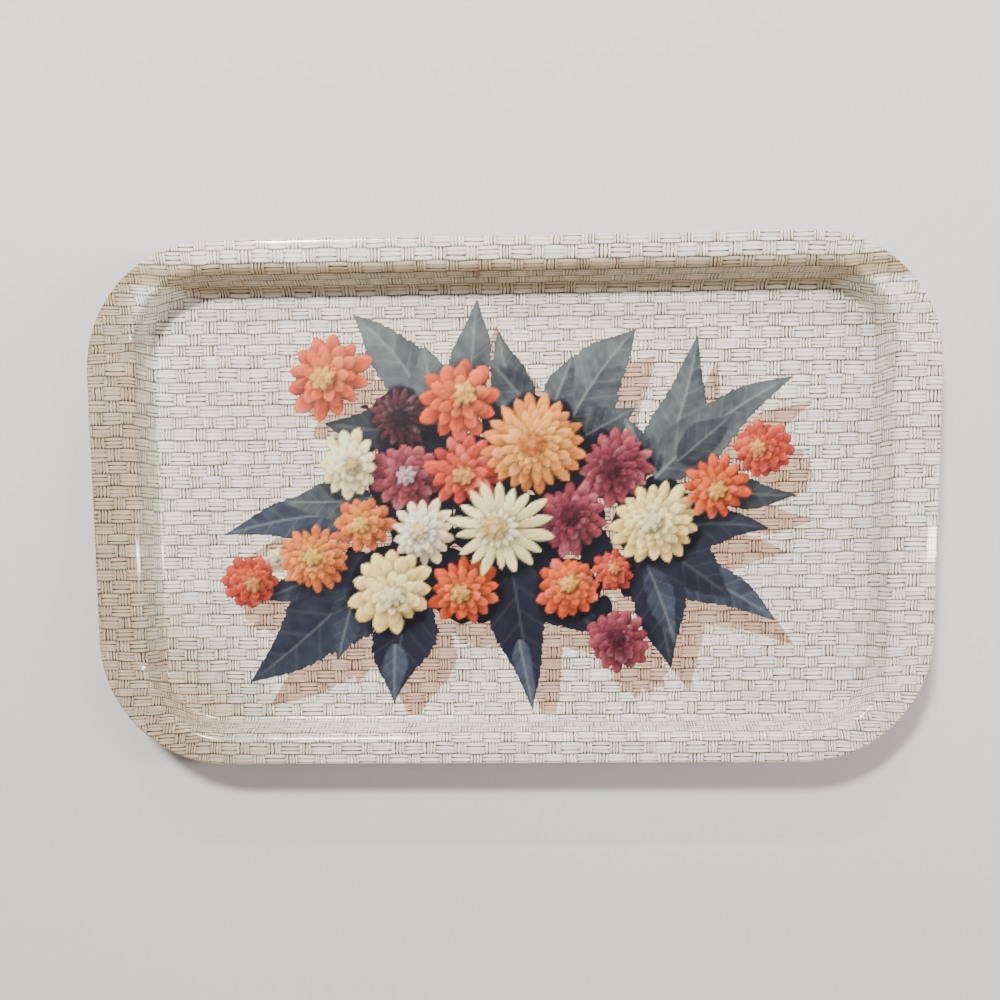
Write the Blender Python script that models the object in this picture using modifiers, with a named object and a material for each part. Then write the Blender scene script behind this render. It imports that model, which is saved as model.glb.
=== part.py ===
# Folding tray table: a pressed-steel tray with two bent-rod legs that fold flat under its floor.
# Metres, +Z up. The tray lies level, face up, X along its length, with its legs folded.
# The origin is on the ground, midway between the ends and the long sides.
import math

import bmesh
import bpy
from mathutils import Matrix, Vector

MM = 0.001
GAP = 0.3 * MM  # clearance between pieces that touch

# Tray
LENGTH = 556.0 * MM
WIDTH = 343.6 * MM
DEPTH = 25.0 * MM  # flange top down to the floor
SHEET = 0.7 * MM
HEM_RADIUS = 2.0 * MM
FLANGE_ENDS = 24.5 * MM  # flat flange, outer edge to the ridge, at the short ends
FLANGE_SIDES = 15.0 * MM  # and along the long sides
WALL_RUN = 15.0 * MM  # plan width of ridge, wall and crease together
WALL_ANGLE = math.radians(75)
RIDGE_RADIUS = 7.0 * MM
CREASE_RADIUS = 4.0 * MM
OUTER_CORNER = 84.0 * MM
RIDGE_CORNER = 62.0 * MM
FLOOR_CORNER = 33.0 * MM
CORNER_STEPS = 12

# Legs
ROD_RADIUS = 3.5 * MM
LEG_LENGTH = 195.0 * MM  # pivot to the middle of the cross bar
LEG_HALF_WIDTH = 116.0 * MM
BEND_RADIUS = 26.0 * MM
EYE_THICKNESS = 3.0 * MM
EYE_STEP = 0.05 * MM  # the heel and tongue are this much thinner, each side, than the eye
EYE_RADIUS = 5.4 * MM
FLAT_LENGTH = 14.0 * MM  # pivot to the end of the flattened stretch
FLAT_HALF_WIDTH = 4.3 * MM
ROD_START = 8.8 * MM  # pivot to where the rod is round again, clear of the ears
OPEN_ANGLE = math.radians(97)
PIVOT_X = 209.0 * MM

# Hinges
PIN_RADIUS = 2.2 * MM
PIN_HEAD_RADIUS = 4.0 * MM
PIN_HEAD_HEIGHT = 1.4 * MM
WASHER_RADIUS = 5.2 * MM
WASHER_THICKNESS = 0.8 * MM
BRACKET_SHEET = 1.4 * MM
BRACKET_LENGTH = 42.0 * MM
BRACKET_WIDTH = 20.0 * MM
BRACKET_CORNER = 4.0 * MM  # rounding of the plate's corners
EAR_LENGTH = 15.0 * MM
EAR_CORNER = 5.0 * MM
EAR_BELOW = 5.4 * MM  # ear's edge below the pivot
PIVOT_DROP = 8.0 * MM  # floor's underside down to the pivot

# Feet and clips
FOOT_SIZE = 13.0 * MM
FOOT_LENGTH = 38.0 * MM
FOOT_ROUNDING = 2.6 * MM
FOOT_Y = 68.0 * MM
CLIP_SHEET = 0.8 * MM
CLIP_WIDTH = 16.0 * MM
CLIP_WAIST = ROD_RADIUS + 0.2 * MM  # half the jaw's opening at its narrowest
CLIP_SHOULDER = 2.0 * MM  # radius of the bend between the base and a jaw
CLIP_BULGE = 0.3 * MM  # how far each jaw bows out beside the rod
CLIP_WAIST_DROP = 2.6 * MM  # rod's middle down to the waist
CLIP_LIP_DROP = 4.8 * MM
CLIP_LIP_FLARE = 1.6 * MM

PIVOT_Z = FOOT_SIZE / 2
UNDER_Z = PIVOT_Z + PIVOT_DROP
FLOOR_Z = UNDER_Z + SHEET
RIM_Z = FLOOR_Z + DEPTH
EAR_INSIDE = EYE_THICKNESS / 2 + WASHER_THICKNESS + 3 * GAP
HEEL_REACH = PIVOT_DROP - GAP - BRACKET_SHEET - GAP  # pivot to the stop under the bracket's plate


def clear_scene():
    for obj in list(bpy.data.objects):
        bpy.data.objects.remove(obj, do_unlink=True)


def new_collection(name):
    collection = bpy.data.collections.new(name)
    bpy.context.scene.collection.children.link(collection)
    return collection


def new_material(name, color, roughness, metallic=0.0):
    material = bpy.data.materials.new(name)
    material.use_nodes = True
    shader = material.node_tree.nodes["Principled BSDF"]
    shader.inputs["Base Color"].default_value = (*color, 1.0)
    shader.inputs["Roughness"].default_value = roughness
    shader.inputs["Metallic"].default_value = metallic
    material.diffuse_color = (*color, 1.0)
    return material


def add_object(name, mesh, material, collection, smooth=True):
    obj = bpy.data.objects.new(name, mesh)
    collection.objects.link(obj)
    mesh.materials.clear()
    mesh.materials.append(material)
    if smooth:
        mesh.shade_smooth()
        mesh.set_sharp_from_angle(angle=math.radians(40))
    return obj


def finished_mesh(obj, name):
    """The evaluated shape of an object as a mesh of its own, welded; the object is removed."""
    bpy.context.view_layer.update()
    depsgraph = bpy.context.evaluated_depsgraph_get()
    mesh = bpy.data.meshes.new_from_object(obj.evaluated_get(depsgraph), depsgraph=depsgraph)
    mesh.transform(obj.matrix_world)
    mesh.name = name
    shape = bmesh.new()
    shape.from_mesh(mesh)
    bmesh.ops.remove_doubles(shape, verts=shape.verts, dist=1e-6)
    shape.to_mesh(mesh)
    shape.free()
    bpy.data.objects.remove(obj, do_unlink=True)
    return mesh


def block_mesh(name, low, high, bevel=0.0, segments=2, edges_along=None):
    """A box between two corners, with its edges along one axis (or all of them) rounded."""
    shape = bmesh.new()
    bmesh.ops.create_cube(shape, size=1.0)
    low, high = Vector(low), Vector(high)
    size = high - low
    bmesh.ops.scale(shape, vec=size, verts=shape.verts)
    bmesh.ops.translate(shape, vec=(low + high) / 2, verts=shape.verts)
    if bevel:
        edges = shape.edges[:]
        if edges_along is not None:
            edges = [e for e in edges if abs((e.verts[0].co - e.verts[1].co)[edges_along]) > 1e-6]
        bmesh.ops.bevel(shape, geom=edges, offset=bevel, segments=segments, affect="EDGES", profile=0.5)
    mesh = bpy.data.meshes.new(name)
    shape.to_mesh(mesh)
    shape.free()
    return mesh


def disc_mesh(name, radius, low_y, high_y, segments=32):
    """A cylinder whose axis is Y."""
    shape = bmesh.new()
    turn = Matrix.Translation((0, (low_y + high_y) / 2, 0)) @ Matrix.Rotation(math.pi / 2, 4, "X")
    bmesh.ops.create_cone(shape, cap_ends=True, segments=segments, radius1=radius, radius2=radius,
                          depth=high_y - low_y, matrix=turn)
    mesh = bpy.data.meshes.new(name)
    shape.to_mesh(mesh)
    shape.free()
    return mesh


def combine(base, tool_mesh, operation, cutters):
    """Adds a mesh to an object, or takes it away, with an exact boolean."""
    tool = bpy.data.objects.new(base.name + "_cut", tool_mesh)
    cutters.objects.link(tool)
    tool.hide_render = True
    tool.display_type = "WIRE"
    boolean = base.modifiers.new(operation.lower(), "BOOLEAN")
    boolean.operation = operation
    boolean.object = tool
    boolean.solver = "EXACT"


def ring_points(inset_x, inset_y, corner, height):
    """A rounded rectangle, counter-clockwise, set in from the tray's length and width."""
    half_x = LENGTH / 2 - inset_x
    half_y = WIDTH / 2 - inset_y
    points = []
    for quarter, (sign_x, sign_y) in enumerate(((1, 1), (-1, 1), (-1, -1), (1, -1))):
        for step in range(CORNER_STEPS + 1):
            angle = math.radians(90 * (quarter + step / CORNER_STEPS))
            x = sign_x * (half_x - corner) + corner * math.cos(angle)
            y = sign_y * (half_y - corner) + corner * math.sin(angle)
            points.append((x, y, height))
    return points


def arc(centre, radius, start, end, steps):
    """Points (inset, height) along an arc in the section's plane, both ends included."""
    angles = [start + (end - start) * i / steps for i in range(steps + 1)]
    return [(centre[0] + radius * math.cos(a), centre[1] + radius * math.sin(a)) for a in angles]


def wall_section():
    """Ridge, wall and crease as (plan run, height), from the flange in to the floor."""
    quarter = math.pi / 2
    ridge = arc((0.0, RIM_Z - RIDGE_RADIUS), RIDGE_RADIUS, quarter, quarter - WALL_ANGLE, 6)
    crease = arc((WALL_RUN, FLOOR_Z + CREASE_RADIUS), CREASE_RADIUS,
                 -quarter - WALL_ANGLE, -quarter, 4)
    return ridge + crease


def tray_rings():
    """The sheet's upper side, from the rolled hem's free edge in to the floor."""
    rings = []
    hem_centre = (HEM_RADIUS, RIM_Z - HEM_RADIUS)
    for inset, height in arc(hem_centre, HEM_RADIUS, math.radians(330), math.radians(90), 10):
        corner = OUTER_CORNER - inset
        rings.append((inset, inset, corner, height))
    for run, height in wall_section():
        share = run / WALL_RUN
        corner = RIDGE_CORNER + (FLOOR_CORNER - RIDGE_CORNER) * share
        rings.append((FLANGE_ENDS + run, FLANGE_SIDES + run, corner, height))
    return rings


def make_tray_pan(material, collection):
    shape = bmesh.new()
    loops = [[shape.verts.new(p) for p in ring_points(*ring)] for ring in tray_rings()]
    for outer, inner in zip(loops, loops[1:]):
        count = len(outer)
        for i in range(count):
            j = (i + 1) % count
            shape.faces.new((outer[i], outer[j], inner[j], inner[i]))
    shape.faces.new(loops[-1])
    mesh = bpy.data.meshes.new("tray_pan")
    shape.to_mesh(mesh)
    shape.free()
    tray = add_object("tray_pan", mesh, material, collection)
    solid = tray.modifiers.new("sheet", "SOLIDIFY")
    solid.thickness = SHEET
    solid.offset = -1.0
    solid.use_even_offset = True
    return tray


def make_bracket_mesh(cutters, side):
    """A channel under the floor, about the pivot: plate, two ears and the pin's holes."""
    top = PIVOT_DROP - GAP
    plate_low = (-BRACKET_LENGTH / 2, -BRACKET_WIDTH / 2, top - BRACKET_SHEET)
    plate_high = (BRACKET_LENGTH / 2, BRACKET_WIDTH / 2, top)
    plate = block_mesh("bracket_base", plate_low, plate_high, BRACKET_CORNER, 4, 2)
    base = bpy.data.objects.new("bracket_base", plate)
    cutters.objects.link(base)
    for sign in (-1, 1):
        ys = sorted((sign * EAR_INSIDE, sign * (EAR_INSIDE + BRACKET_SHEET)))
        ear = block_mesh("ear", (-EAR_LENGTH / 2, ys[0], -EAR_BELOW),
                         (EAR_LENGTH / 2, ys[1], top - BRACKET_SHEET / 2))
        shape = bmesh.new()
        shape.from_mesh(ear)
        low_edges = [e for e in shape.edges
                     if all(v.co.z < 0 for v in e.verts)
                     and abs(e.verts[0].co.y - e.verts[1].co.y) > 1e-6]
        bmesh.ops.bevel(shape, geom=low_edges, offset=EAR_CORNER, segments=5,
                        affect="EDGES", profile=0.5)
        shape.to_mesh(ear)
        shape.free()
        combine(base, ear, "UNION", cutters)
    reach = EAR_INSIDE + 3 * BRACKET_SHEET
    combine(base, disc_mesh("pin_hole", PIN_RADIUS + GAP, -reach, reach, 24), "DIFFERENCE", cutters)
    return finished_mesh(base, "hinge_bracket_" + side)


def make_pin_mesh():
    """A rivet along Y: a domed head at each end of a straight shank."""
    half = EAR_INSIDE + BRACKET_SHEET + GAP
    dome = [(PIN_HEAD_RADIUS * math.cos(a), half + PIN_HEAD_HEIGHT * math.sin(a))
            for a in (math.radians(d) for d in (90, 68, 45, 22, 0))]
    upper = [*dome, (PIN_RADIUS, half)]
    profile = upper + [(r, -h) for r, h in reversed(upper)]
    shape = bmesh.new()
    verts = [shape.verts.new((max(r, 0.0), 0.0, h)) for r, h in profile]
    for a, b in zip(verts, verts[1:]):
        shape.edges.new((a, b))
    mesh = bpy.data.meshes.new("pivot_pin")
    shape.to_mesh(mesh)
    shape.free()
    return mesh


def make_washer_mesh():
    """A flat ring's section at +X, top to bottom on its outer side, closed on itself."""
    inner, outer, half = PIN_RADIUS + GAP, WASHER_RADIUS, WASHER_THICKNESS / 2
    shape = bmesh.new()
    verts = [shape.verts.new((r, 0.0, z)) for r, z in ((inner, half), (outer, half), (outer, -half),
                                                       (inner, -half))]
    for i, vert in enumerate(verts):
        shape.edges.new((vert, verts[(i + 1) % 4]))
    mesh = bpy.data.meshes.new("pivot_washer")
    shape.to_mesh(mesh)
    shape.free()
    return mesh


def add_turned(name, mesh, steps, location, material, collection):
    """An object whose profile turns about its own Z, laid along the world's Y."""
    obj = add_object(name, mesh, material, collection, smooth=False)
    obj.location = location
    obj.rotation_euler = (math.pi / 2, 0.0, 0.0)
    screw = obj.modifiers.new("turn", "SCREW")
    screw.steps = steps
    screw.render_steps = steps
    screw.use_merge_vertices = True
    screw.merge_threshold = 1e-6
    screw.use_smooth_shade = False
    return obj


def leg_path():
    """Centre line of the rod about the pivot axis, from one flattened end round to the other."""
    bend_x = LEG_LENGTH - BEND_RADIUS
    bend_y = LEG_HALF_WIDTH - BEND_RADIUS
    bend = arc((bend_x, bend_y), BEND_RADIUS, math.pi / 2, 0.0, 7)
    half = [(ROD_START, LEG_HALF_WIDTH), *bend]
    return half + [(x, -y) for x, y in reversed(half)]


def make_leg_mesh(cutters, side):
    """Bent rod with both ends flattened, pierced and given a heel that stops the leg when open."""
    curve = bpy.data.curves.new("rod", "CURVE")
    curve.dimensions = "3D"
    curve.bevel_depth = ROD_RADIUS
    curve.bevel_resolution = 3
    curve.use_fill_caps = True
    spline = curve.splines.new("POLY")
    path = leg_path()
    spline.points.add(len(path) - 1)
    for point, (x, y) in zip(spline.points, path):
        point.co = (x, y, 0.0, 1.0)
    rod = bpy.data.objects.new("rod", curve)
    cutters.objects.link(rod)
    leg = bpy.data.objects.new("leg", finished_mesh(rod, "leg"))
    cutters.objects.link(leg)
    heel_x = (HEEL_REACH - GAP - EYE_RADIUS * abs(math.cos(OPEN_ANGLE))) / math.sin(OPEN_ANGLE)
    for sign in (-1, 1):
        low_y = sign * LEG_HALF_WIDTH - EYE_THICKNESS / 2
        high_y = sign * LEG_HALF_WIDTH + EYE_THICKNESS / 2
        combine(leg, disc_mesh("eye", EYE_RADIUS, low_y, high_y), "UNION", cutters)
        heel = block_mesh("heel", (-heel_x, low_y + EYE_STEP, -EYE_RADIUS + EYE_STEP),
                          (0, high_y - EYE_STEP, 0))
        combine(leg, heel, "UNION", cutters)
        tongue = block_mesh("tongue", (0, low_y + 2 * EYE_STEP, -FLAT_HALF_WIDTH),
                            (FLAT_LENGTH, high_y - 2 * EYE_STEP, FLAT_HALF_WIDTH))
        combine(leg, tongue, "UNION", cutters)
    reach = LEG_HALF_WIDTH + EYE_THICKNESS
    combine(leg, disc_mesh("pin_hole", PIN_RADIUS + GAP, -reach, reach, 24), "DIFFERENCE", cutters)
    return finished_mesh(leg, "leg_frame_" + side)


def make_foot_mesh(cutters):
    """A moulded sleeve with flat sides, bored for the rod."""
    half = FOOT_SIZE / 2
    block = block_mesh("foot", (-half, -FOOT_LENGTH / 2, -half), (half, FOOT_LENGTH / 2, half),
                       FOOT_ROUNDING, 3)
    body = bpy.data.objects.new("foot", block)
    cutters.objects.link(body)
    bore = disc_mesh("bore", ROD_RADIUS + GAP, -FOOT_LENGTH, FOOT_LENGTH, 24)
    combine(body, bore, "DIFFERENCE", cutters)
    return finished_mesh(body, "foot_sleeve")


def clip_outline():
    """Half of the clip's section in X and Z about the rod: base, jaw, waist and flared lip."""
    base_z = PIVOT_DROP - GAP - CLIP_SHEET / 2
    jaw_x = CLIP_WAIST + CLIP_SHEET / 2
    corner = arc((jaw_x - CLIP_SHOULDER / 2, base_z - CLIP_SHOULDER), CLIP_SHOULDER,
                 math.pi / 2, 0.0, 3)
    lip = [(jaw_x + CLIP_BULGE, 0.0), (jaw_x, -CLIP_WAIST_DROP),
           (jaw_x + CLIP_LIP_FLARE, -CLIP_LIP_DROP)]
    return [(0.0, base_z), *corner, *lip]


def make_clip_mesh():
    half = clip_outline()
    outline = [(-x, z) for x, z in reversed(half[1:])] + half
    shape = bmesh.new()
    rows = [[shape.verts.new((x, y, z)) for x, z in outline]
            for y in (-CLIP_WIDTH / 2, CLIP_WIDTH / 2)]
    for i in range(len(outline) - 1):
        shape.faces.new((rows[0][i], rows[0][i + 1], rows[1][i + 1], rows[1][i]))
    mesh = bpy.data.meshes.new("leg_clip")
    shape.to_mesh(mesh)
    shape.free()
    return mesh


def make_pivot(name, sign, collection):
    """An empty on a leg's hinge axis, turned so that its +X points in to the tray's middle."""
    pivot = bpy.data.objects.new(name, None)
    collection.objects.link(pivot)
    pivot.location = (-sign * PIVOT_X, 0.0, PIVOT_Z)
    pivot.rotation_euler = (0.0, 0.0, 0.0 if sign > 0 else math.pi)
    return pivot


def main():
    clear_scene()
    parts = new_collection("folding_tray_table")
    cutters = new_collection("cutters")
    enamel = new_material("straw_enamel", (0.74, 0.68, 0.58), 0.3)
    zinc = new_material("bracket_steel", (0.55, 0.53, 0.48), 0.35, 0.9)
    brass = new_material("leg_lacquer", (0.50, 0.38, 0.20), 0.3, 0.9)
    pin_steel = new_material("pin_steel", (0.62, 0.61, 0.58), 0.3, 1.0)
    nylon = new_material("washer_nylon", (0.80, 0.78, 0.72), 0.5)
    rubber = new_material("foot_vinyl", (0.22, 0.15, 0.10), 0.6)
    spring = new_material("clip_steel", (0.30, 0.30, 0.32), 0.35, 1.0)

    make_tray_pan(enamel, parts)
    pin_mesh = make_pin_mesh()
    washer_mesh = make_washer_mesh()
    clip_mesh = make_clip_mesh()
    foot_mesh = make_foot_mesh(cutters)
    for side, inward in (("left", 1), ("right", -1)):
        pivot = make_pivot(side + "_leg_pivot", inward, parts)
        bracket_mesh = make_bracket_mesh(cutters, side)
        leg = add_object("leg_frame_" + side, make_leg_mesh(cutters, side), brass, parts)
        leg.parent = pivot
        for row, sign in (("front", -1), ("back", 1)):
            corner = side + "_" + row
            bracket = add_object("hinge_bracket_" + corner, bracket_mesh, zinc, parts)
            centre = Vector((-inward * PIVOT_X, sign * LEG_HALF_WIDTH, PIVOT_Z))
            bracket.location = centre
            add_turned("pivot_pin_" + corner, pin_mesh, 20, centre, pin_steel, parts)
            offset = EYE_THICKNESS / 2 + GAP + WASHER_THICKNESS / 2
            for place, way in (("inner", -sign), ("outer", sign)):
                add_turned("pivot_washer_" + corner + "_" + place, washer_mesh, 24,
                           centre + Vector((0, way * offset, 0)), nylon, parts)
            foot = add_object("foot_sleeve_" + corner, foot_mesh, rubber, parts)
            foot.parent = pivot
            foot.location = (LEG_LENGTH, inward * sign * FOOT_Y, 0.0)
        clip = add_object("leg_clip_" + side, clip_mesh, spring, parts)
        clip.location = (-inward * (PIVOT_X - LEG_LENGTH), 0.0, PIVOT_Z)
        strip = clip.modifiers.new("sheet", "SOLIDIFY")
        strip.thickness = CLIP_SHEET
        strip.offset = 0.0
        strip.use_even_offset = True
    bpy.context.view_layer.update()


main()
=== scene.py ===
import math

import bmesh
import bpy
import numpy as np
from mathutils import Euler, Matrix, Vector


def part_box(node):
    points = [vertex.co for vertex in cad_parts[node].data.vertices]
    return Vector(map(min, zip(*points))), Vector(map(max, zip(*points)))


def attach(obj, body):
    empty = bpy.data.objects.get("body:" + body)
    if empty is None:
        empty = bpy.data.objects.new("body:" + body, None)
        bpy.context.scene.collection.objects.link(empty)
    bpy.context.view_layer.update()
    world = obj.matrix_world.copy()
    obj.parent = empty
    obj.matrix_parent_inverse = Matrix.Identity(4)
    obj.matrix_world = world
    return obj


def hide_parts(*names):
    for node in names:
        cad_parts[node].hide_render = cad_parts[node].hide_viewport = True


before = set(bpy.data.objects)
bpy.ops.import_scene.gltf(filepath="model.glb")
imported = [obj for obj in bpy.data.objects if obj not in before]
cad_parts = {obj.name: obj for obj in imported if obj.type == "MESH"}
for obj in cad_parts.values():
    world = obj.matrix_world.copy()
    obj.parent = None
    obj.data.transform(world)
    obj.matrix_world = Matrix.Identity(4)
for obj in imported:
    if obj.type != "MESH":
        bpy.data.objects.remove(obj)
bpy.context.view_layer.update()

MM = 0.001

# ---- Sizes, from the frame and from the tray's own driving dimensions, in metres ----
TRAY_LOW, TRAY_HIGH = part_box("tray_pan")
LENGTH = TRAY_HIGH.x - TRAY_LOW.x
WIDTH = TRAY_HIGH.y - TRAY_LOW.y
RIM_Z = TRAY_HIGH.z
DEPTH = 25.0 * MM
FLOOR_Z = RIM_Z - DEPTH
SHEET = FLOOR_Z - TRAY_LOW.z
HEM_RADIUS = 2.0 * MM
FLANGE_ENDS, FLANGE_SIDES = 24.5 * MM, 15.0 * MM
WALL_RUN = 15.0 * MM
WALL_ANGLE = math.radians(75)
RIDGE_RADIUS, CREASE_RADIUS = 7.0 * MM, 4.0 * MM
OUTER_CORNER, RIDGE_CORNER, FLOOR_CORNER = 84.0 * MM, 62.0 * MM, 33.0 * MM
CORNER_STEPS = 28
GRID_CELL = 1.2 * MM  # the floor's fine cells, which hold the picture's colours
GRID_MARGIN = 0.8 * MM  # from the fine cells to the crease, along the long sides

GAP = 0.3 * MM
ROD_RADIUS = 3.5 * MM
LEG_LENGTH = 195.0 * MM
LEG_HALF_WIDTH = 116.0 * MM
BEND_RADIUS = 26.0 * MM
EYE_THICKNESS, EYE_RADIUS = 3.0 * MM, 5.4 * MM
EYE_SKIN = 0.1 * MM  # how far the rod's squeezed end lies inside the flat eye
FLAT_LENGTH, FLAT_HALF_WIDTH = 14.0 * MM, 4.3 * MM
ROD_START = 8.8 * MM
HEEL_X, HEEL_Z = -5.08 * MM, -5.35 * MM
PIN_RADIUS = 2.2 * MM
PIN_HEAD_RADIUS, PIN_HEAD_HEIGHT = 4.0 * MM, 1.4 * MM
WASHER_RADIUS, WASHER_THICKNESS = 5.2 * MM, 0.8 * MM
BRACKET_SHEET = 1.4 * MM
BRACKET_LENGTH, BRACKET_WIDTH = 42.0 * MM, 20.0 * MM
BRACKET_CORNER, EAR_CORNER = 4.0 * MM, 5.0 * MM
EAR_LENGTH, EAR_BELOW = 15.0 * MM, 5.4 * MM
EAR_INSIDE = EYE_THICKNESS / 2 + WASHER_THICKNESS + 3 * GAP
PIVOT_DROP = 8.0 * MM
FOOT_SIZE, FOOT_LENGTH, FOOT_ROUNDING = 13.0 * MM, 38.0 * MM, 2.2 * MM
GROOVE_PITCH, GROOVE_DEPTH = 3.1 * MM, 0.45 * MM
CLIP_SHEET, CLIP_WIDTH = 0.8 * MM, 16.0 * MM
CLIP_WAIST = ROD_RADIUS + 0.2 * MM
CLIP_SHOULDER, CLIP_BULGE = 2.0 * MM, 0.3 * MM
CLIP_WAIST_DROP, CLIP_LIP_DROP, CLIP_LIP_FLARE = 2.6 * MM, 4.8 * MM, 1.6 * MM
WELD_RADIUS, WELD_HEIGHT = 2.4 * MM, 0.25 * MM
WELD_X, WELD_Y = 15.0 * MM, 5.0 * MM

VIEW_PLACE = (8.0 * MM, -40.8 * MM, 663.4 * MM)  # the camera, from the middle of the rim's plane
VIEW_TURN = (5.64, -1.42, 0.36)  # degrees
VIEW_SHIFT = 0.167

SIDES = (("left", 1), ("right", -1))
ROWS = (("front", -1), ("back", 1))


def srgb(red, green, blue):
    """A screen colour, 0 to 255, as a linear one."""
    values = np.array((red, green, blue)) / 255.0
    return tuple(np.where(values <= 0.04045, values / 12.92, ((values + 0.055) / 1.055) ** 2.4))


# ---- Node graphs: values that can be added and multiplied like numbers ----
class Value:
    def __init__(self, tree, socket):
        self.tree, self.socket = tree, socket

    def math(self, operation, *others, clamp=False):
        node = self.tree.nodes.new("ShaderNodeMath")
        node.operation = operation
        node.use_clamp = clamp
        self.tree.links.new(self.socket, node.inputs[0])
        for i, other in enumerate(others, 1):
            connect(self.tree, other, node.inputs[i])
        return Value(self.tree, node.outputs[0])

    def __add__(self, other):
        return self.math("ADD", other)

    def __sub__(self, other):
        return self.math("SUBTRACT", other)

    def __mul__(self, other):
        return self.math("MULTIPLY", other)

    def __truediv__(self, other):
        return self.math("DIVIDE", other)

    def floor(self):
        return self.math("FLOOR")

    def fract(self):
        return self.math("FRACT")

    def flipped(self):
        return (self * -1.0) + 1.0

    def smooth(self, low, high):
        """0 below low, 1 above high, and a soft step between."""
        node = self.tree.nodes.new("ShaderNodeMapRange")
        node.interpolation_type = "SMOOTHSTEP"
        connect(self.tree, self, node.inputs["Value"])
        connect(self.tree, low, node.inputs["From Min"])
        connect(self.tree, high, node.inputs["From Max"])
        return Value(self.tree, node.outputs["Result"])


def connect(tree, value, socket):
    if isinstance(value, Value):
        tree.links.new(value.socket, socket)
    else:
        socket.default_value = value


def blend_color(tree, share, first, second, mode="MIX"):
    node = tree.nodes.new("ShaderNodeMix")
    node.data_type = "RGBA"
    node.blend_type = mode
    connect(tree, share, node.inputs["Factor"])
    for color, name in ((first, "A"), (second, "B")):
        socket = next(s for s in node.inputs if s.name == name and s.type == "RGBA")
        connect(tree, (*color, 1.0) if isinstance(color, tuple) else color, socket)
    return Value(tree, next(s for s in node.outputs if s.type == "RGBA"))


def noise(tree, position, scale, detail=2.0, roughness=0.5, stretch=None):
    if stretch is not None:
        node = tree.nodes.new("ShaderNodeVectorMath")
        node.operation = "MULTIPLY"
        connect(tree, position, node.inputs[0])
        node.inputs[1].default_value = stretch
        position = Value(tree, node.outputs[0])
    node = tree.nodes.new("ShaderNodeTexNoise")
    connect(tree, position, node.inputs["Vector"])
    node.inputs["Scale"].default_value = scale
    node.inputs["Detail"].default_value = detail
    node.inputs["Roughness"].default_value = roughness
    return Value(tree, node.outputs["Fac"])


def combine(tree, x, y, z=0.0):
    node = tree.nodes.new("ShaderNodeCombineXYZ")
    for value, socket in zip((x, y, z), node.inputs):
        connect(tree, value, socket)
    return Value(tree, node.outputs[0])


def separate(tree, vector):
    node = tree.nodes.new("ShaderNodeSeparateXYZ")
    connect(tree, vector, node.inputs[0])
    return [Value(tree, socket) for socket in node.outputs]


def scatter(tree, vector):
    """A random value, 0 to 1, for each whole-number vector."""
    node = tree.nodes.new("ShaderNodeTexWhiteNoise")
    connect(tree, vector, node.inputs["Vector"])
    return Value(tree, node.outputs["Value"])


def attribute(tree, name, output="Fac"):
    node = tree.nodes.new("ShaderNodeAttribute")
    node.attribute_name = name
    return Value(tree, node.outputs[output])


def object_position(tree):
    return Value(tree, tree.nodes.new("ShaderNodeTexCoord").outputs["Object"])


def bump(tree, height, strength, distance):
    node = tree.nodes.new("ShaderNodeBump")
    node.inputs["Strength"].default_value = strength
    node.inputs["Distance"].default_value = distance
    connect(tree, height, node.inputs["Height"])
    return Value(tree, node.outputs["Normal"])


def new_material(name, **settings):
    material = bpy.data.materials.new(name)
    material.use_nodes = True
    tree = material.node_tree
    shader = tree.nodes["Principled BSDF"]
    for key, value in settings.items():
        name = key.replace("_", " ").title().replace("Ior", "IOR")
        shader.inputs[name].default_value = value
    return material, tree, shader


# ---- The printed weave ----
ROW_HEIGHT = 7.9  # millimetres
WEAVE_PERIOD = 21.0
ACROSS_SHARE = 0.6  # of a period, for the strands that run along the tray
LEVEL_STRANDS, UPRIGHT_STRANDS = 3.0, 4.0
STRAW = srgb(247, 242, 230)
STRAW_WARM = srgb(238, 226, 198)
STRAW_GAP = srgb(84, 64, 36)


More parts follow.
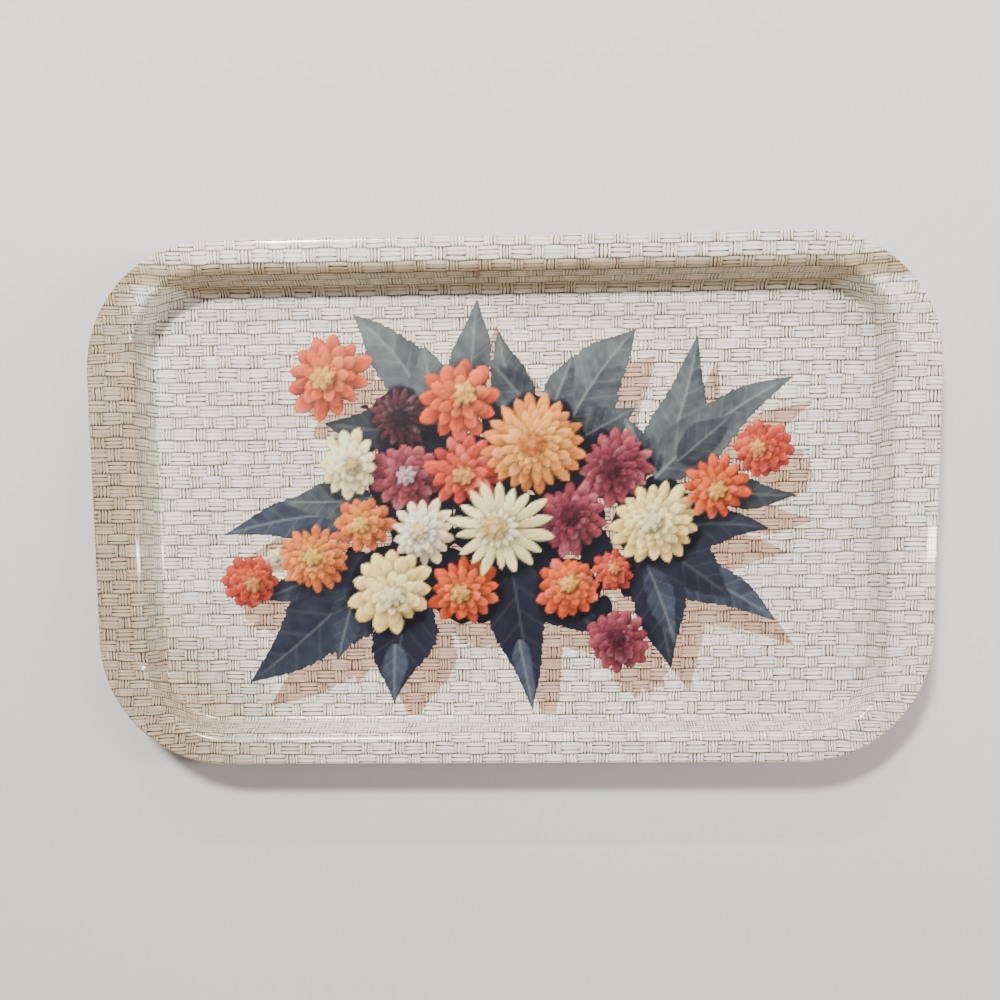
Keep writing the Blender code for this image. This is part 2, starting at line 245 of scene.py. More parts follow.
def weave_color(tree):
    blank = attribute(tree, "blank", "Vector")
    u, v, _ = separate(tree, blank)
    u, v = u * 1000.0, v * 1000.0
    wander = noise(tree, combine(tree, 0.0, v * 0.055), 1.0, 1.0)
    ripple = noise(tree, blank, 48.0, 1.0)
    lifted = v / ROW_HEIGHT + (wander - 0.5) * 0.65 + (ripple - 0.5) * 0.2
    row = lifted.floor()
    up = lifted.fract()
    row_random = scatter(tree, combine(tree, row, 3.0))
    along = u / WEAVE_PERIOD + row * 0.5 + (row_random - 0.5) * 0.22
    along = along + (noise(tree, combine(tree, u * 0.05, row * 7.0), 1.0, 1.0) - 0.5) * 0.30
    along = along + (noise(tree, blank, 210.0, 1.0) - 0.5) * 0.07
    cell = along.floor()
    across = along.fract()
    is_upright = across.smooth(ACROSS_SHARE - 0.012, ACROSS_SHARE + 0.012)
    is_level = is_upright.flipped()
    tag = row * 17.0 + cell
    level_place = up * LEVEL_STRANDS
    upright_place = (across - ACROSS_SHARE) / (1.0 - ACROSS_SHARE) * UPRIGHT_STRANDS
    place = level_place * is_level + upright_place * is_upright
    strand = place.floor()
    edge = (place.fract() - 0.5).math("ABSOLUTE") * 2.0
    gap_id = (place + 0.5).floor()
    gap_random = scatter(tree, combine(tree, tag, gap_id, is_upright.math("ROUND")))
    gap_strength = gap_random * 0.62 + is_upright * 0.22 + 0.30
    gap_start = (gap_random * -0.30) - is_upright * 0.18 + 0.72
    gap = edge.smooth(gap_start, 1.0) * gap_strength
    level_end = (across / ACROSS_SHARE - 0.5).math("ABSOLUTE") * 2.0
    upright_end = (up - 0.5).math("ABSOLUTE") * 2.0
    ends = level_end * is_level + upright_end * is_upright
    tuck = ends.smooth(0.62, 1.04) * (is_upright * 0.42 + 0.26)
    seam = upright_end.smooth(0.78, 1.0) * is_level * (gap_random * 0.35 + 0.05)
    dots = gap * ends.smooth(0.35, 1.0) * 0.75
    dark = (gap + dots + tuck + seam).math("MINIMUM", 1.0)
    streak_level = noise(tree, blank, 700.0, 2.0, stretch=(0.10, 1.0, 1.0))
    streak_upright = noise(tree, blank, 700.0, 2.0, stretch=(1.0, 0.10, 1.0))
    streak = streak_level * is_level + streak_upright * is_upright
    tone = scatter(tree, combine(tree, tag, strand, 5.0))
    warm = (noise(tree, blank, 9.0, 2.0) - 0.35).math("MULTIPLY", 0.9, clamp=True)
    straw = blend_color(tree, warm, STRAW, STRAW_WARM)
    light = edge.flipped() * 0.20 + tone * 0.22 + streak * 0.60 + 0.48
    straw = blend_color(tree, 1.0, straw, combine(tree, light, light, light), "MULTIPLY")
    return blend_color(tree, dark, straw, STRAW_GAP)


SHADOW_TINT = srgb(200, 160, 138)


def face_material():
    """Printed enamel: straw weave, the picture over it with its printed shadow, and a clear gloss."""
    material, tree, shader = new_material("printed_enamel", roughness=0.34, specular_ior_level=0.2,
                                          coat_weight=0.8, coat_roughness=0.06, coat_ior=1.5)
    weave = weave_color(tree)
    cast = attribute(tree, "cast").smooth(0.25, 0.8)
    grain = noise(tree, object_position(tree), 55.0, 3.0)
    cast = cast * (grain * 0.25 + 0.72)
    weave = blend_color(tree, cast, weave, blend_color(tree, 1.0, weave, SHADOW_TINT, "MULTIPLY"))
    x, y, _ = separate(tree, object_position(tree))
    # Painted shade: the weave is tinted a darker tan over the left end's rim, the floor's bottom-left corner
    # and the top wall, where less light falls
    end_line = LENGTH / 2 - FLANGE_ENDS
    left_end_shade = (x * -1.0).smooth(end_line - WALL_RUN, end_line - 0.002) * 0.9
    corner_shade = (x * -0.75 - y * 0.66).smooth(0.185, 0.275) * 0.9
    top_line = WIDTH / 2 - FLANGE_SIDES
    top_wall_shade = y.smooth(top_line - WALL_RUN - 0.001, top_line - WALL_RUN + 0.004)
    top_wall_shade = top_wall_shade * y.smooth(top_line - 0.005, top_line + 0.004).flipped()
    painted_shade = left_end_shade.math("MAXIMUM", corner_shade).math("MAXIMUM", top_wall_shade) * (grain * 0.4 + 0.7)
    # The tan that the painted shade multiplies into the weave
    shade_toned = blend_color(tree, 1.0, weave, srgb(182, 162, 130), "MULTIPLY")
    weave = blend_color(tree, painted_shade, weave, shade_toned)
    picture = attribute(tree, "picture", "Color")
    cover = attribute(tree, "cover").smooth(0.34, 0.66)
    fine = noise(tree, object_position(tree), 900.0, 2.0) * 0.24 + 0.88
    picture = blend_color(tree, 1.0, picture, combine(tree, fine, fine, fine), "MULTIPLY")
    printed = blend_color(tree, cover, weave, picture)
    connect(tree, printed, shader.inputs["Base Color"])
    wear = noise(tree, object_position(tree), 30.0, 5.0, 0.65)
    connect(tree, wear * 0.16 + 0.26, shader.inputs["Roughness"])
    peel = noise(tree, object_position(tree), 260.0, 2.0)
    connect(tree, bump(tree, peel, 0.06, 0.0004), shader.inputs["Normal"])
    return material


def back_material():
    """The plain lacquered underside: a warm tan with faint rub marks and a little dust."""
    material, tree, shader = new_material("back_enamel", roughness=0.4, coat_weight=0.3,
                                          coat_roughness=0.15)
    position = object_position(tree)
    cloud = noise(tree, position, 11.0, 4.0, 0.6)
    rubs = noise(tree, position, 160.0, 4.0, 0.7, stretch=(0.15, 1.0, 1.0)).smooth(0.62, 0.78)
    color = blend_color(tree, cloud, srgb(186, 160, 124), srgb(166, 138, 104))
    color = blend_color(tree, rubs * 0.3, color, srgb(206, 188, 158))
    connect(tree, color, shader.inputs["Base Color"])
    connect(tree, cloud * 0.2 + rubs * 0.15 + 0.26, shader.inputs["Roughness"])
    peel = noise(tree, position, 320.0, 2.0)
    connect(tree, bump(tree, peel, 0.1, 0.0004), shader.inputs["Normal"])
    return material


def metal_material(name, light, dark, roughness, grain_stretch, rust=0.0, metallic=1.0):
    """Plated or lacquered steel with drawn grain, tarnish clouds and, if asked, rust specks."""
    material, tree, shader = new_material(name, roughness=roughness, metallic=metallic,
                                          coat_weight=0.2, coat_roughness=0.2)
    position = object_position(tree)
    grain = noise(tree, position, 1500.0, 3.0, 0.6, stretch=grain_stretch)
    cloud = noise(tree, position, 45.0, 4.0, 0.65)
    color = blend_color(tree, cloud.smooth(0.3, 0.75), light, dark)
    speck = noise(tree, position, 420.0, 3.0, 0.7).smooth(0.66, 0.74) * rust
    color = blend_color(tree, speck, color, srgb(96, 52, 28))
    connect(tree, color, shader.inputs["Base Color"])
    connect(tree, grain * 0.2 + cloud * 0.12 + (roughness - 0.14) + speck * 0.4,
            shader.inputs["Roughness"])
    connect(tree, bump(tree, grain, 0.12, 0.0002), shader.inputs["Normal"])
    return material


def soft_material(name, color, worn, roughness):
    """Moulded plastic: fine pebble, scuffs that show paler, and a dull skin."""
    material, tree, shader = new_material(name, roughness=roughness)
    position = object_position(tree)
    pebble = noise(tree, position, 1300.0, 3.0, 0.6)
    scuff = noise(tree, position, 190.0, 4.0, 0.7).smooth(0.55, 0.75)
    connect(tree, blend_color(tree, scuff * 0.5, color, worn), shader.inputs["Base Color"])
    connect(tree, pebble * 0.2 + scuff * 0.1 + (roughness - 0.1), shader.inputs["Roughness"])
    connect(tree, bump(tree, pebble, 0.25, 0.0002), shader.inputs["Normal"])
    return material


# ---- The printed picture: a bunch of strawflowers, worked out point by point ----
EDGE = 1.4  # millimetres over which a shape's edge fades
PETAL_SPREAD = 1.09  # how far the longest petals pass a flower's stated radius
LIGHT_FROM = (-0.5, 0.85)
SHADOW_SHIFT = (13.0, -17.0)

# name: outer petal, inner petal, heart
PALETTES = {
    "vermilion": (srgb(214, 82, 44), srgb(226, 106, 54), srgb(250, 196, 92)),
    "scarlet": (srgb(194, 70, 54), srgb(212, 88, 58), srgb(246, 178, 100)),
    "orange": (srgb(222, 112, 58), srgb(240, 146, 70), srgb(252, 206, 100)),
    "amber": (srgb(230, 132, 60), srgb(248, 170, 80), srgb(214, 112, 54)),
    "maroon": (srgb(152, 68, 78), srgb(118, 48, 62), srgb(82, 34, 44)),
    "plum": (srgb(88, 38, 50), srgb(56, 26, 40), srgb(34, 20, 30)),
    "crimson": (srgb(158, 72, 78), srgb(130, 54, 64), srgb(222, 186, 188)),
    "cream": (srgb(255, 236, 166), srgb(255, 244, 198), srgb(222, 176, 88)),
    "ivory": (srgb(255, 224, 178), srgb(255, 246, 216), srgb(250, 222, 150)),
    "peach": (srgb(255, 214, 130), srgb(255, 228, 154), srgb(255, 240, 190)),
}

# (x, y, radius) in millimetres from the tray's middle, palette, petals, rings of petals, blunt
FLOWERS = (
    (-75, 61, 20, "plum", 17, 5, 3.0),
    (-124, 89, 29, "vermilion", 12, 4, 4.0),
    (-36, 72, 28, "vermilion", 11, 4, 4.0),
    (-73, 22, 24, "crimson", 13, 5, 5.0),
    (-32, 25, 25, "scarlet", 12, 4, 4.0),
    (70, 27, 25, "maroon", 15, 6, 4.5),
    (40, -8, 24, "maroon", 15, 5, 5.0),
    (16, 42, 34, "amber", 20, 6, 5.0),
    (-111, 31, 22, "cream", 13, 4, 4.5),
    (-163, -34, 9, "ivory", 6, 2, 4.0),
    (-181, -48, 19, "scarlet", 12, 6, 8.0),
    (-101, -10, 20, "orange", 10, 4, 4.0),
    (-136, -33, 24, "orange", 17, 5, 5.0),
    (-33, -56, 24, "vermilion", 13, 4, 3.6),
    (-61, -16, 23, "ivory", 14, 4, 3.5),
    (38, -55, 22, "vermilion", 13, 5, 5.5),
    (69, -43, 14, "scarlet", 11, 4, 5.0),
    (73, -91, 22, "maroon", 13, 6, 5.5),
    (98, -11, 29, "peach", 17, 5, 4.5),
    (138, 13, 23, "vermilion", 13, 4, 3.6),
    (169, 38, 20, "scarlet", 14, 5, 7.0),
    (-84, -55, 29, "peach", 13, 4, 4.5),
    (-8, -14, 33, "cream", 18, 3, 2.6),
)

# base, tip, half-width in millimetres, how light, bend
LEAVES = (
    ((-52, 58), (-107, 130), 23, 0.80, -0.14),
    ((-48, 56), (-58, 109), 20, 0.70, 0.05),
    ((-28, 70), (-22, 140), 15, 0.70, 0.02),
    ((8, 62), (-8, 119), 14, 0.62, 0.10),
    ((14, 66), (-16, 100), 12, 0.45, 0.0),
    ((38, 54), (84, 118), 25, 0.85, 0.08),
    ((26, 62), (42, 102), 11, 0.70, 0.0),
    ((50, 48), (84, 66), 13, 0.45, 0.0),
    ((97, 20), (125, 114), 19, 0.85, -0.08),
    ((97, 19), (190, 86), 19, 0.78, 0.10),
    ((98, 22), (76, 60), 10, 0.85, 0.0),
    ((112, 30), (150, 62), 13, 0.35, 0.0),
    ((128, 14), (194, 7), 12, 0.25, -0.08),
    ((92, -18), (176, -16), 18, 0.15, 0.12),
    ((100, -38), (181, -79), 17, 0.55, 0.10),
    ((92, -20), (150, -62), 22, 0.12, 0.0),
    ((88, -26), (109, -112), 21, 0.12, 0.04),
    ((92, -40), (112, -96), 10, 0.45, 0.04),
    ((-2, -34), (13, -139), 21, 0.08, 0.02),
    ((4, -90), (14, -140), 7, 0.55, 0.0),
    ((20, -60), (62, -84), 16, 0.05, 0.0),
    ((-70, -52), (-83, -134), 25, 0.10, -0.04),
    ((-82, -92), (-83, -135), 9, 0.50, 0.0),
    ((-88, -34), (-184, -119), 32, 0.24, 0.05),
    ((-108, -52), (-122, -104), 13, 0.40, 0.0),
    ((-130, -44), (-176, -62), 11, 0.30, 0.0),
    ((-92, -2), (-200, -17), 17, 0.62, -0.08),
    ((-96, 8), (-158, 6), 15, 0.60, 0.05),
    ((-70, 50), (-128, 58), 15, 0.20, 0.0),
)
LEAF_DARK = srgb(22, 22, 36)
LEAF_PALE, LEAF_PALE_LOW = srgb(110, 119, 118), srgb(92, 102, 118)  # above the flowers, and below
LEAF_VEIN = srgb(160, 166, 160)
UNDERGROWTH = srgb(22, 20, 34)


# dark hollows between the flowers: x, y, radius in millimetres
HOLLOWS = ((-55, 46, 17), (-98, 52, 15), (-54, 2, 16), (-80, 4, 12), (38, 16, 16), (18, -38, 16),
           (58, -28, 14), (-50, -38, 16), (-110, -44, 16), (-8, 62, 14), (100, 8, 14), (52, 48, 14),
           (2, -62, 16), (54, -70, 12), (84, -48, 14), (120, -6, 12))


def chance(*numbers):
    """A repeatable random value, 0 to 1, for whole numbers."""
    total = sum(np.asarray(n, float) * k for n, k in zip(numbers, (12.9898, 78.233, 37.719)))
    return np.modf(np.abs(np.sin(total + 1.7) * 43758.5453))[0]


def ramp(value, low, high):
    share = np.clip((value - low) / (high - low), 0.0, 1.0)
    return share * share * (3 - 2 * share)


def fade(distance, width=EDGE):
    """How much a point is inside a shape, from its distance in past the edge."""
    return np.clip(0.5 + distance / width, 0.0, 1.0)


def patches(x, y, size, seed):
    """Smooth value noise, 0 to 1, on cells of the given size."""
    cell_x, cell_y = np.floor(x / size), np.floor(y / size)
    share_x, share_y = ramp(x / size - cell_x, 0, 1), ramp(y / size - cell_y, 0, 1)
    corners = [[chance(cell_x + i, cell_y + j, seed) for i in (0, 1)] for j in (0, 1)]
    rows = [low + (high - low) * share_x for low, high in corners]
    return rows[0] + (rows[1] - rows[0]) * share_y


class Picture:
    """Colours and cover at the points (x, y), in millimetres, painted back to front."""

    def __init__(self, x, y):
        self.x, self.y = x, y
        self.color = np.zeros((len(x), 3))
        self.cover = np.zeros(len(x))

    def near(self, x, y, reach):
        return np.nonzero((np.abs(self.x - x) < reach) & (np.abs(self.y - y) < reach))[0]

    def lay(self, where, mask, color):
        share = mask[:, None]
        self.color[where] = self.color[where] * (1 - share) + np.asarray(color) * share
        self.cover[where] = np.maximum(self.cover[where], mask)

    def shade(self, where, amount):
        self.color[where] *= 1 - amount[:, None]


def draw_leaf(picture, base, tip, half_width, lightness, bend, seed):
    base, tip = np.array(base, float), np.array(tip, float)
    axis = tip - base
    length = np.hypot(*axis)
    axis /= length
    middle = (base + tip) / 2
    where = picture.near(*middle, length * 0.75 + half_width)
    x, y = picture.x[where], picture.y[where]
    along = ((x - base[0]) * axis[0] + (y - base[1]) * axis[1]) / length
    aside = -(x - base[0]) * axis[1] + (y - base[1]) * axis[0]
    aside = aside - bend * length * along * (1 - along) * 2
    inside = np.clip(along, 0.0, 1.0)
    profile = 3.1 * inside ** 0.6 * (1 - inside) ** 1.25
    side = (aside > 0).astype(float)
    teeth = length / 9.0
    coarse = np.modf(inside ** 1.3 * teeth + 0.4 * side + 0.2 * np.sin(seed))[0]
    fine = np.modf(inside * teeth * 2.7 + 0.5 * side)[0]
    lobes = 0.13 * np.sin(inside * 8.0 + seed * 1.3 + side * 2.0)
    reach = half_width * profile * (0.86 + 0.09 * coarse + 0.05 * fine + lobes)
    distance = np.where((along > 0) & (along < 1), reach - np.abs(aside), -5.0)
    mask = fade(distance)
    mottle = patches(x + 500, y + 500, 14.0, seed) * 0.6 + patches(x + 500, y + 500, 4.0, seed + 5) * 0.4
    slant = np.modf(np.clip(along - np.abs(aside) / length * 0.9, 0, 1) * 6.0 + 0.5 * side)[0]
    pleat = 0.14 * (slant - 0.5)
    light = lightness * (0.45 + 0.40 * inside + 0.9 * (mottle - 0.5) + 0.22 * (side - 0.5) + pleat)
    light = np.clip(light, 0.0, 1.0)[:, None]
    pale = np.array(LEAF_PALE if tip[1] > 0 else LEAF_PALE_LOW)
    color = np.array(LEAF_DARK) * (1 - light) + pale * light
    rib = ramp(np.abs(aside), 1.3, 0.1) * ramp(along, 0.97, 0.80)
    veins = ramp(np.abs(slant - 0.5), 0.12, 0.0) * 0.14
    lines = np.clip(rib * 0.42 + veins, 0, 1)[:, None] * (0.15 + 0.85 * lightness)
    color = color * (1 - lines) + np.array(LEAF_VEIN) * lines
    picture.lay(where, mask, color)


def petal_ring(dx, dy, radius, petals, phase, blunt, seed):
    """One ring of petals: mask, petal number, place across (-1 to 1) and place out (0 to 1)."""
    reach = np.hypot(dx, dy)
    turn = (np.arctan2(dy, dx) + 2 * math.pi + phase) * petals / (2 * math.pi)
    index = np.floor(turn) % petals
    aside = turn - np.floor(turn) - 0.5 + 0.22 * (chance(index, seed, 3) - 0.5)
    tip = radius * (1.0 - 0.20 * chance(index, seed, 1))
    out = np.clip(reach / tip, 0.0, 1.2)
    notch = 1 + 0.05 * np.sin(out * 14 + index * 2.1)
    width = np.clip(1 - out ** blunt, 0.0, 1.0) ** 0.8 * (0.58 + 0.14 * chance(index, seed, 6)) * notch
    span = 2 * math.pi * reach / petals
    distance = np.minimum((width - np.abs(aside)) * span, tip - reach)
    return fade(distance, EDGE * 0.7), index, np.clip(aside / np.maximum(width, 0.06), -1, 1), out


def draw_flower(picture, x, y, radius, palette, petals, rings, blunt, seed):
    outer, inner, heart = (np.array(c) for c in PALETTES[palette])
    radius = radius * PETAL_SPREAD
    where = picture.near(x, y, radius + 4)
    dx, dy = picture.x[where] - x, picture.y[where] - y
    tilt = (chance(seed, 1, 1) - 0.5) * 0.30, (chance(seed, 2, 1) - 0.5) * 0.30
    angle = chance(seed, 7, 2) * 6.3
    stretch = 1.0 + 0.06 * np.sin(2 * np.arctan2(dy, dx) + angle)
    dx, dy = dx * stretch, dy * stretch
    picture.shade(where, 0.5 * ramp(np.hypot(dx - 1.5, dy + 2.0), radius + 3.0, radius * 0.8))
    for ring in range(rings):
        share = ring / rings
        size = radius * (1 - share) ** 0.85
        if blunt < 3 and ring > 0:
            size *= 0.62
        rx, ry = dx - tilt[0] * radius * share, dy - tilt[1] * radius * share
        reach = np.hypot(rx, ry) + 1e-6
        if ring:
            shadow = ramp(np.hypot(rx - 0.8, ry + 1.2), size + 1.8, size * 0.7)
            picture.shade(where, 0.55 * shadow)
        count = max(5, round(petals * (1 - 0.45 * share)))
        phase = chance(seed, ring, 4) * 6.3
        mask, index, aside, out = petal_ring(rx, ry, size, count, phase, blunt, seed + ring)
        tone = 0.78 + 0.44 * chance(index, seed + ring, 2)
        body = outer + (inner - outer) * np.clip(share * 1.4 + (1 - out) * 0.4, 0, 1)[:, None]
        toward = (-ry * LIGHT_FROM[0] + rx * LIGHT_FROM[1]) / reach
        facing = (rx * LIGHT_FROM[0] + ry * LIGHT_FROM[1]) / reach
        rolled = 0.26 * aside * toward
        depth = 0.42 + 0.68 * np.clip(out, 0, 1) ** 1.3
        cupped = 0.10 * facing * (out - 0.5) * (1 if ring < rings / 2 else -1)
        groove = -0.52 * ramp(np.abs(aside), 0.66, 1.0) - 0.14 * ramp(np.abs(aside), 0.20, 0.0) * out
        rim = 0.55 * ramp(np.abs(aside), 0.40, 0.75) * ramp(aside * toward, 0.0, 0.5)
        rim = rim + 0.10 * np.cos(aside * 15.0 + index) * out
        glint = 0.30 * ramp(chance(index, seed + ring, 9), 0.72, 0.95) * ramp(out, 0.5, 0.95)
        light = tone * depth * (1 + rolled + cupped + groove + rim)
        light = np.clip(light, 0.02, None) ** (1.15 - 0.72 * outer.mean())
        color = body * light[:, None] + (0.25 + body * 0.5) * (glint * (0.6 + 0.4 * aside))[:, None]
        picture.lay(where, mask, color)
    hx, hy = dx - tilt[0] * radius, dy - tilt[1] * radius
    around = np.hypot(hx, hy)
    for ring, share in enumerate((0.30, 0.21, 0.12)):
        size = radius * share
        picture.shade(where, 0.5 * ramp(np.hypot(hx - 0.5, hy + 0.8), size + 1.2, size * 0.7))
        mask, index, aside, out = petal_ring(hx, hy, size, 7 - ring, chance(seed, ring, 11) * 6.3, 3.0,
                                             seed + 90 + ring)
        closed = heart * (0.80 + 0.12 * ring) + inner * (0.24 - 0.10 * ring)
        bright = (0.74 + 0.5 * (1 - out)) * (0.76 + 0.5 * chance(index, seed, ring + 12))
        bright *= 1 - 0.45 * ramp(np.abs(aside), 0.55, 1.0)
        picture.lay(where, mask, np.clip(closed, 0, 1) * bright[:, None])
    specks = patches(hx + 99, hy + 99, 1.6, seed)
    mask = fade(radius * 0.07 - around, EDGE)
    picture.lay(where, mask * 0.8, inner * (0.35 + 0.5 * specks)[:, None])
    slope = (dx * LIGHT_FROM[0] + dy * LIGHT_FROM[1]) / radius
    inside = fade(radius * 1.02 - np.hypot(dx, dy), 3.0)
    blotch = patches(picture.x[where] + 300, picture.y[where] + 300, 7.0, seed) - 0.5
    picture.shade(where, np.clip(0.03 - 0.24 * slope + 0.16 * blotch, -0.22, 0.4) * inside)


def draw_bunch(x, y):
    picture = Picture(x, y)
    for hx, hy, radius in HOLLOWS:
        where = picture.near(hx, hy, radius + 8)
        px, py = picture.x[where], picture.y[where]
        edge = radius - 4 + 8 * patches(px + 500, py + 500, 6.0, 5)
        picture.lay(where, fade(edge - np.hypot(px - hx, py - hy), 2.0), UNDERGROWTH)
    for seed, leaf in enumerate(LEAVES):
        draw_leaf(picture, *leaf, seed)
    for fx, fy, radius, *_ in FLOWERS:
        if -90 < fx < 110 and abs(fy) < 64:
            where = picture.near(fx, fy, radius + 12)
            px, py = picture.x[where], picture.y[where]
            edge = radius - 4 + 8 * patches(px + 500, py + 500, 8.0, 3)
            picture.lay(where, fade(edge - np.hypot(px - fx, py - fy), 2.0), UNDERGROWTH)
    for seed, flower in enumerate(FLOWERS):
        draw_flower(picture, *flower, seed + 40)
    return picture


# ---- The pressed tray ----
def ring_points(inset_x, inset_y, corner, height):
    """A rounded rectangle, counter-clockwise, and each point's outward direction."""
    half_x, half_y = LENGTH / 2 - inset_x, WIDTH / 2 - inset_y
    points, outward = [], []
    for quarter, (sign_x, sign_y) in enumerate(((1, 1), (-1, 1), (-1, -1), (1, -1))):
        for step in range(CORNER_STEPS + 1):
            angle = math.radians(90 * (quarter + step / CORNER_STEPS))
            points.append((sign_x * (half_x - corner) + corner * math.cos(angle),
                           sign_y * (half_y - corner) + corner * math.sin(angle), height))
            outward.append((math.cos(angle), math.sin(angle)))
    return np.array(points), np.array(outward)


def arc_angles(start, end, steps):
    return [start + (end - start) * i / steps for i in range(steps + 1)]


def tray_section():
    """(inset_x, inset_y, corner, height, normal's plan part, normal's rise), hem to floor."""
    quarter = math.pi / 2
    section = []
    for a in arc_angles(math.radians(330), quarter, 20):
        inset = HEM_RADIUS * (1 + math.cos(a))
        height = RIM_Z - HEM_RADIUS + HEM_RADIUS * math.sin(a)
        section.append((inset, inset, OUTER_CORNER - inset, height, math.cos(a), math.sin(a)))
    inset = HEM_RADIUS
    for share in (0.25, 0.5, 0.75):
        section.append((inset + (FLANGE_ENDS - inset) * share, inset + (FLANGE_SIDES - inset) * share,
                        OUTER_CORNER - inset + (RIDGE_CORNER - OUTER_CORNER + inset) * share,
                        RIM_Z, 0.0, 1.0))
    wall = [(RIDGE_RADIUS * math.cos(a), RIM_Z - RIDGE_RADIUS + RIDGE_RADIUS * math.sin(a),
             math.cos(a), math.sin(a)) for a in arc_angles(quarter, quarter - WALL_ANGLE, 14)]
    crease = [(WALL_RUN + CREASE_RADIUS * math.cos(a),
               FLOOR_Z + CREASE_RADIUS + CREASE_RADIUS * math.sin(a), -math.cos(a), -math.sin(a))
              for a in arc_angles(-quarter - WALL_ANGLE, -quarter, 8)]
    top, foot = wall[-1], crease[0]
    for share in (0.25, 0.5, 0.75):
        wall.append(tuple(p + (q - p) * share for p, q in zip(top, foot)))
    for run, height, flat, rise in wall + crease:
        corner = RIDGE_CORNER + (FLOOR_CORNER - RIDGE_CORNER) * run / WALL_RUN
        section.append((FLANGE_ENDS + run, FLANGE_SIDES + run, corner, height, flat, rise))
    return section


def unrolled(rings, outward):
    """Where each ring's points lay on the flat printed blank, worked outward from the floor."""
    blank = [rings[-1][:, :2]]
    for outer, inner in zip(rings[-2::-1], rings[:0:-1]):
        step = outer - inner
        across = (step[:, :2] * outward).sum(1)
        length = np.hypot(across, step[:, 2])
        blank.append(blank[-1] + step[:, :2] + outward * (length - across)[:, None])
    return blank[::-1]


def floor_grid(half_x, half_y):
    count_x, count_y = round(2 * half_x / GRID_CELL), round(2 * half_y / GRID_CELL)
    xs, ys = np.linspace(-half_x, half_x, count_x + 1), np.linspace(-half_y, half_y, count_y + 1)
    grid_x, grid_y = np.meshgrid(xs, ys)
    return grid_x.ravel(), grid_y.ravel(), count_x, count_y


def ring_faces(start, count, rings, flip=False):
    faces = []
    for r in range(rings - 1):
        for i in range(count):
            j = (i + 1) % count
            a, b = start + r * count + i, start + r * count + j
            face = (a, b, b + count, a + count)
            faces.append(face[::-1] if flip else face)
    return faces


def grid_faces(first, count_x, count_y):
    wide = count_x + 1
    return [(first + j * wide + i, first + j * wide + i + 1,
             first + (j + 1) * wide + i + 1, first + (j + 1) * wide + i)
            for j in range(count_y) for i in range(count_x)]


def make_tray():
    section = tray_section()
    top, under, outward = [], [], None
    for inset_x, inset_y, corner, height, flat, rise in section:
        points, outward = ring_points(inset_x, inset_y, corner, height)
        top.append(points)
        shift = -flat * SHEET
        under.append(ring_points(inset_x + shift, inset_y + shift, corner - shift, height - rise * SHEET)[0])
    count, rings = len(top[0]), len(section)
    blank = unrolled(top, outward)
    half_x = LENGTH / 2 - FLANGE_ENDS - WALL_RUN - FLOOR_CORNER
    half_y = WIDTH / 2 - FLANGE_SIDES - WALL_RUN - GRID_MARGIN
    grid_x, grid_y, count_x, count_y = floor_grid(half_x, half_y)
    grid = np.column_stack((grid_x, grid_y, np.full(len(grid_x), FLOOR_Z)))
    points = np.vstack(top + under + [grid])
    front = ring_faces(0, count, rings)
    under_start = rings * count
    back = ring_faces(under_start, count, rings, flip=True)
    for i in range(count):
        j = (i + 1) % count
        back.append((j, i, under_start + i, under_start + j))
    last_ring = under_start + (rings - 1) * count
    back.append(tuple(range(last_ring + count - 1, last_ring - 1, -1)))
    grid_start = 2 * rings * count
    fine = grid_faces(grid_start, count_x, count_y)
    mesh = bpy.data.meshes.new("tray_face")
    mesh.from_pydata(points.tolist(), [], front + back + fine)
    slots = [0] * len(front) + [1] * len(back) + [0] * len(fine)
    mesh.polygons.foreach_set("material_index", slots)
    set_print(mesh, np.vstack(blank + [np.array(u)[:, :2] for u in under] + [grid[:, :2]]),
              grid_x, grid_y, grid_start)
    fill_floor_edge(mesh, (rings - 1) * count, count, grid_start, count_x, count_y)
    tray = bpy.data.objects.new("printed_tray", mesh)
    bpy.context.scene.collection.objects.link(tray)
    mesh.materials.append(face_material())
    mesh.materials.append(back_material())
    mesh.shade_smooth()
    return tray


def fill_floor_edge(mesh, ring_start, count, first, count_x, count_y):
    """Joins the floor's fine grid to the crease with flat triangles."""
    shape = bmesh.new()
    shape.from_mesh(mesh)
    shape.verts.ensure_lookup_table()
    wide = count_x + 1
    corner = first + count_y * wide
    border = [first + i for i in range(count_x)] + [first + count_x + j * wide for j in range(count_y)]
    border += [corner + count_x - i for i in range(count_x)] + [corner - j * wide for j in range(count_y)]
    ring = list(range(ring_start, ring_start + count))
    edges = []
    for loop in (ring, border):
        for a, b in zip(loop, loop[1:] + loop[:1]):
            pair = (shape.verts[a], shape.verts[b])
            edges.append(shape.edges.get(pair) or shape.edges.new(pair))
    filled = bmesh.ops.triangle_fill(shape, edges=edges, use_beauty=True, normal=(0, 0, 1))
    for item in filled["geom"]:
        if isinstance(item, bmesh.types.BMFace):
            item.material_index = 0
            item.smooth = True
            if item.normal.z < 0:
                item.normal_flip()
    shape.to_mesh(mesh)
    shape.free()


